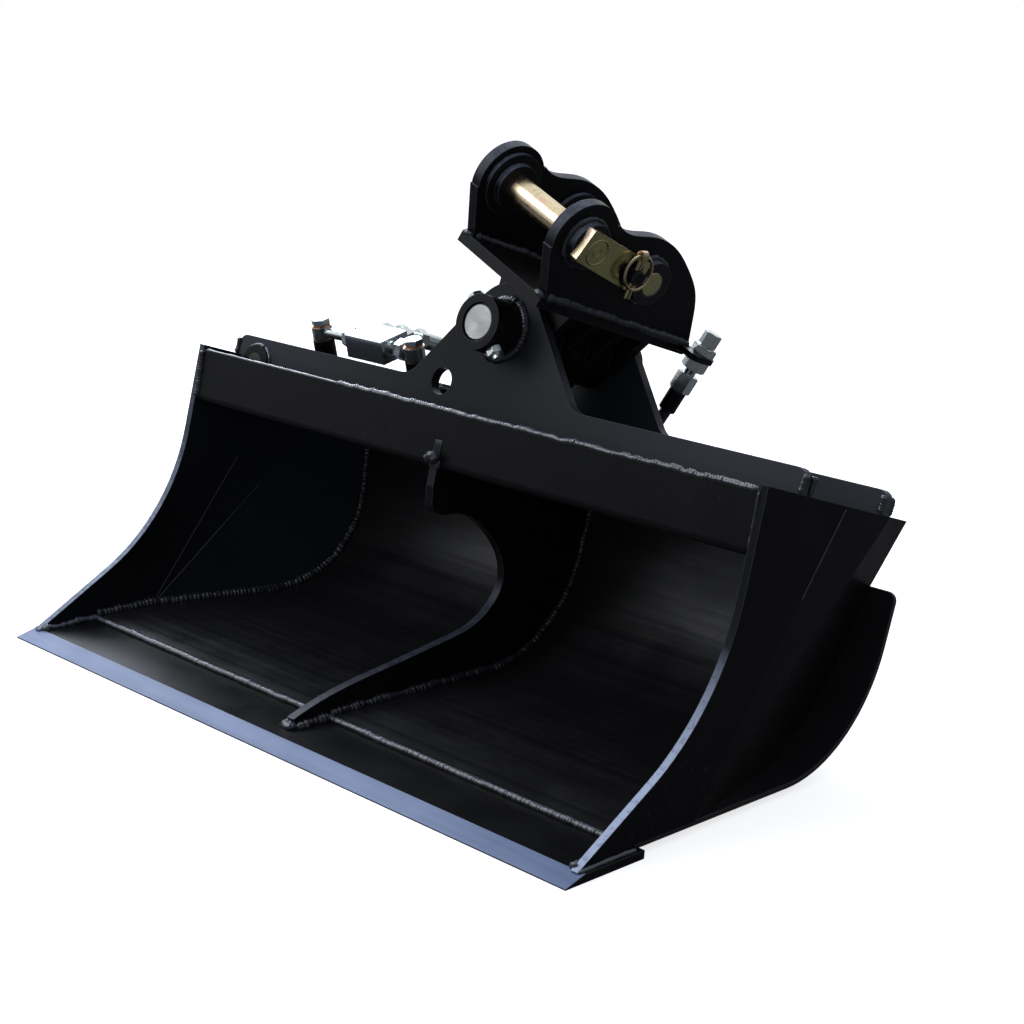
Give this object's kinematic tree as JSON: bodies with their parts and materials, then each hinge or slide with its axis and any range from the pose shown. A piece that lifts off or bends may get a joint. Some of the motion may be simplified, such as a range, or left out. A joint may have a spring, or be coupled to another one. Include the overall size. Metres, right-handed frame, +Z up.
{
  "type": "tilt grading bucket",
  "caption": "Black tilt grading bucket for a mini excavator, with a hydraulic cylinder that tilts it under a pin-on hitch head.",
  "frame": {"origin": "Middle of the bounding box at the underside of the cutting edge, on the floor.", "axes": "+X along the cutting edge to the right as the bucket is filled, +Y from the cutting edge to the back, +Z up."},
  "size_m": [1.012, 0.6839, 0.7118],
  "materials": {
    "black_paint": "satin",
    "zinc": "bright zinc",
    "gold_zinc": "yellow zinc",
    "bare_steel": "machined",
    "chrome": "polished",
    "copper": "plain copper",
    "bronze": "machined bronze",
    "rubber": "matt"
  },
  "bodies": {
    "bucket": {"cutting_edge": "black_paint", "shell": "black_paint", "heel_skids": "black_paint", "side_plate_left": "black_paint", "side_plate_right": "black_paint", "top_beam": "black_paint", "deck_plate": "black_paint", "centre_rib": "black_paint", "front_pivot_plate": "black_paint", "rear_pivot_plate": "black_paint", "front_pivot_boss": "black_paint", "rear_pivot_boss": "black_paint", "pivot_pin": "bare_steel", "pivot_lock_bolt": "zinc", "pivot_lock_nut": "zinc", "anchor_boss_front": "black_paint", "anchor_boss_rear": "black_paint", "anchor_pin": "bare_steel", "hose_right": "rubber", "hose_left": "rubber"},
    "barrel": {"cylinder_barrel": "black_paint", "cylinder_gland": "black_paint", "port_bosses": "black_paint", "copper_washers": "copper", "banjo_fittings": "zinc", "banjo_bolts": "zinc", "union_nuts": "zinc", "valve_block": "zinc", "hose_adapters": "zinc", "block_hose_fittings": "zinc"},
    "rod": {"piston_rod": "chrome", "piston": "bare_steel", "rod_eye": "black_paint", "rod_pin": "bare_steel", "rod_pin_collars": "black_paint"},
    "head": {"head_base_plate": "black_paint", "ear_left": "black_paint", "ear_right": "black_paint", "inner_bosses_left": "black_paint", "inner_bosses_right": "black_paint", "outer_bosses_left": "black_paint", "outer_bosses_right": "black_paint", "front_hitch_pin": "gold_zinc", "rear_hitch_pin": "gold_zinc", "flag_stud_right": "black_paint", "flag_stud_left": "black_paint", "hub_tube": "black_paint", "hub_bushes": "bronze", "thrust_washers": "bare_steel", "head_webs": "black_paint", "tilt_arms": "black_paint", "bulkhead_tabs": "black_paint", "bulkhead_adapters": "zinc", "bulkhead_nuts": "zinc", "bulkhead_hose_fittings": "zinc", "bulkhead_ferrules": "black_paint"},
    "lynch_right": {"lynch_pin_right": "gold_zinc"},
    "lynch_left": {"lynch_pin_left": "gold_zinc"},
    "ring_right": {"lynch_ring_right": "gold_zinc"},
    "ring_left": {"lynch_ring_left": "gold_zinc"}
  },
  "joints": [
    {"name": "tilt", "type": "hinge", "parent": "bucket", "child": "head", "pos_m": [0, 0.12734, 0.45236], "axis": [0, 0.9636, -0.2672], "range_deg": [-52.4, 7.6], "deforming": ["hose_right", "hose_left"]},
    {"name": "barrel_swing", "type": "hinge", "parent": "bucket", "child": "barrel", "pos_m": [-0.451, 0.11358, 0.33165], "axis": [0, 0.9636, -0.2672], "range_deg": [-0.05, 0.25]},
    {"name": "rod_slide", "type": "slide", "parent": "barrel", "child": "rod", "axis": [1, 0, 0], "range_m": [-0.017, 0.115]},
    {"name": "lynch_pull_right", "type": "slide", "parent": "head", "child": "lynch_right", "axis": [0.3698, 0.0066, 0.9291], "range_m": [0, 0.05]},
    {"name": "ring_swing_right", "type": "hinge", "parent": "lynch_right", "child": "ring_right", "pos_m": [0.17845, 0.10022, 0.58783], "axis": [-0.0922, -0.9948, 0.0438], "range_deg": [0, 100]},
    {"name": "lynch_pull_left", "type": "slide", "parent": "head", "child": "lynch_left", "axis": [0.3698, 0.0066, 0.9291], "range_m": [0, 0.05]},
    {"name": "ring_swing_left", "type": "hinge", "parent": "lynch_left", "child": "ring_left", "pos_m": [-0.03923, 0.11411, 0.67859], "axis": [0.0922, 0.9948, -0.0438], "range_deg": [0, 100]}
  ],
  "couplings": [
    {"joint": "rod_slide", "follows": "tilt", "m_per_rad": -0.1253},
    {"joint": "barrel_swing", "follows": "tilt", "ratio": -0.0043},
    {"joint": "ring_swing_right", "follows": "lynch_pull_right", "rad_per_m": 34.9},
    {"joint": "ring_swing_left", "follows": "lynch_pull_left", "rad_per_m": 34.9}
  ]
}
